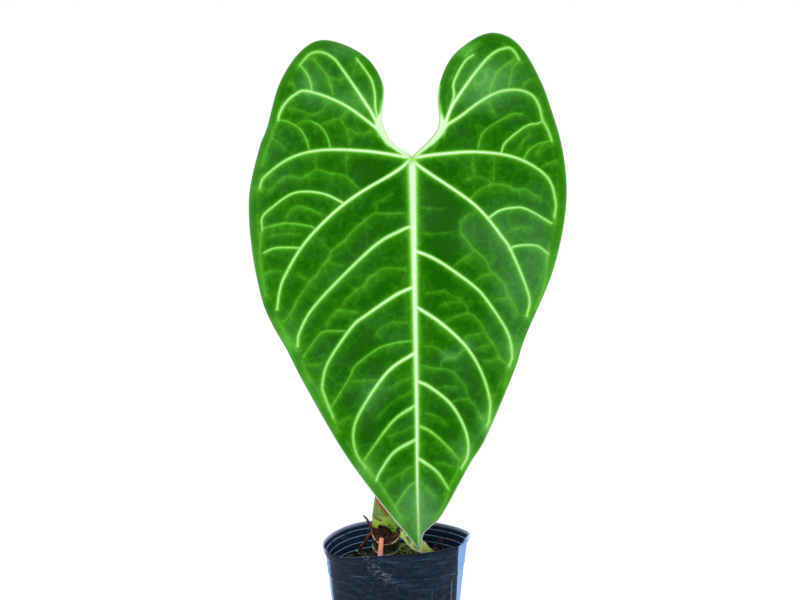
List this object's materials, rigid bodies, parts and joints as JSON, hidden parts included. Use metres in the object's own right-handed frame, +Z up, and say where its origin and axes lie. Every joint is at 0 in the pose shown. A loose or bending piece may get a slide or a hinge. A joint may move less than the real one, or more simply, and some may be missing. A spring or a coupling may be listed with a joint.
{
  "type": "potted anthurium regale",
  "caption": "Heart-shaped velvety leaf with pale raised veins, held upright on a stalk from a short stem in a filled soft nursery pot.",
  "frame": {"origin": "centre of the pot's underside, on the surface that the pot stands on", "axes": "+Z up, +X to the right and +Y away from a viewer who faces the leaf"},
  "size_m": [0.2593, 0.1204, 0.5179],
  "materials": {
    "pot_plastic": "thin soft black plastic with a dull shine",
    "mix": "dark damp bark and fibre crumbs",
    "moss": "dark green moss",
    "stem": "dark green bark of a soft stem",
    "fibre": "torn brown fibres",
    "sheath": "waxy yellow green",
    "stalk": "waxy green",
    "blade": "velvety deep green with near-white veins",
    "new_root": "smooth salmon pink",
    "old_root": "dry reddish brown",
    "old_leaf": "mottled yellow green with a cream edge"
  },
  "bodies": {
    "root": {"pot": "pot_plastic", "potting_mix": "mix", "moss": "moss", "stem": "stem", "sheath_fibres": "fibre", "leaf_sheath": "sheath", "leaf_stalk": "stalk", "leaf_blade": "blade", "new_root": "new_root", "root_upper": "old_root", "root_lower": "old_root", "root_dry": "old_root", "old_leaf": "old_leaf"}
  },
  "joints": []
}
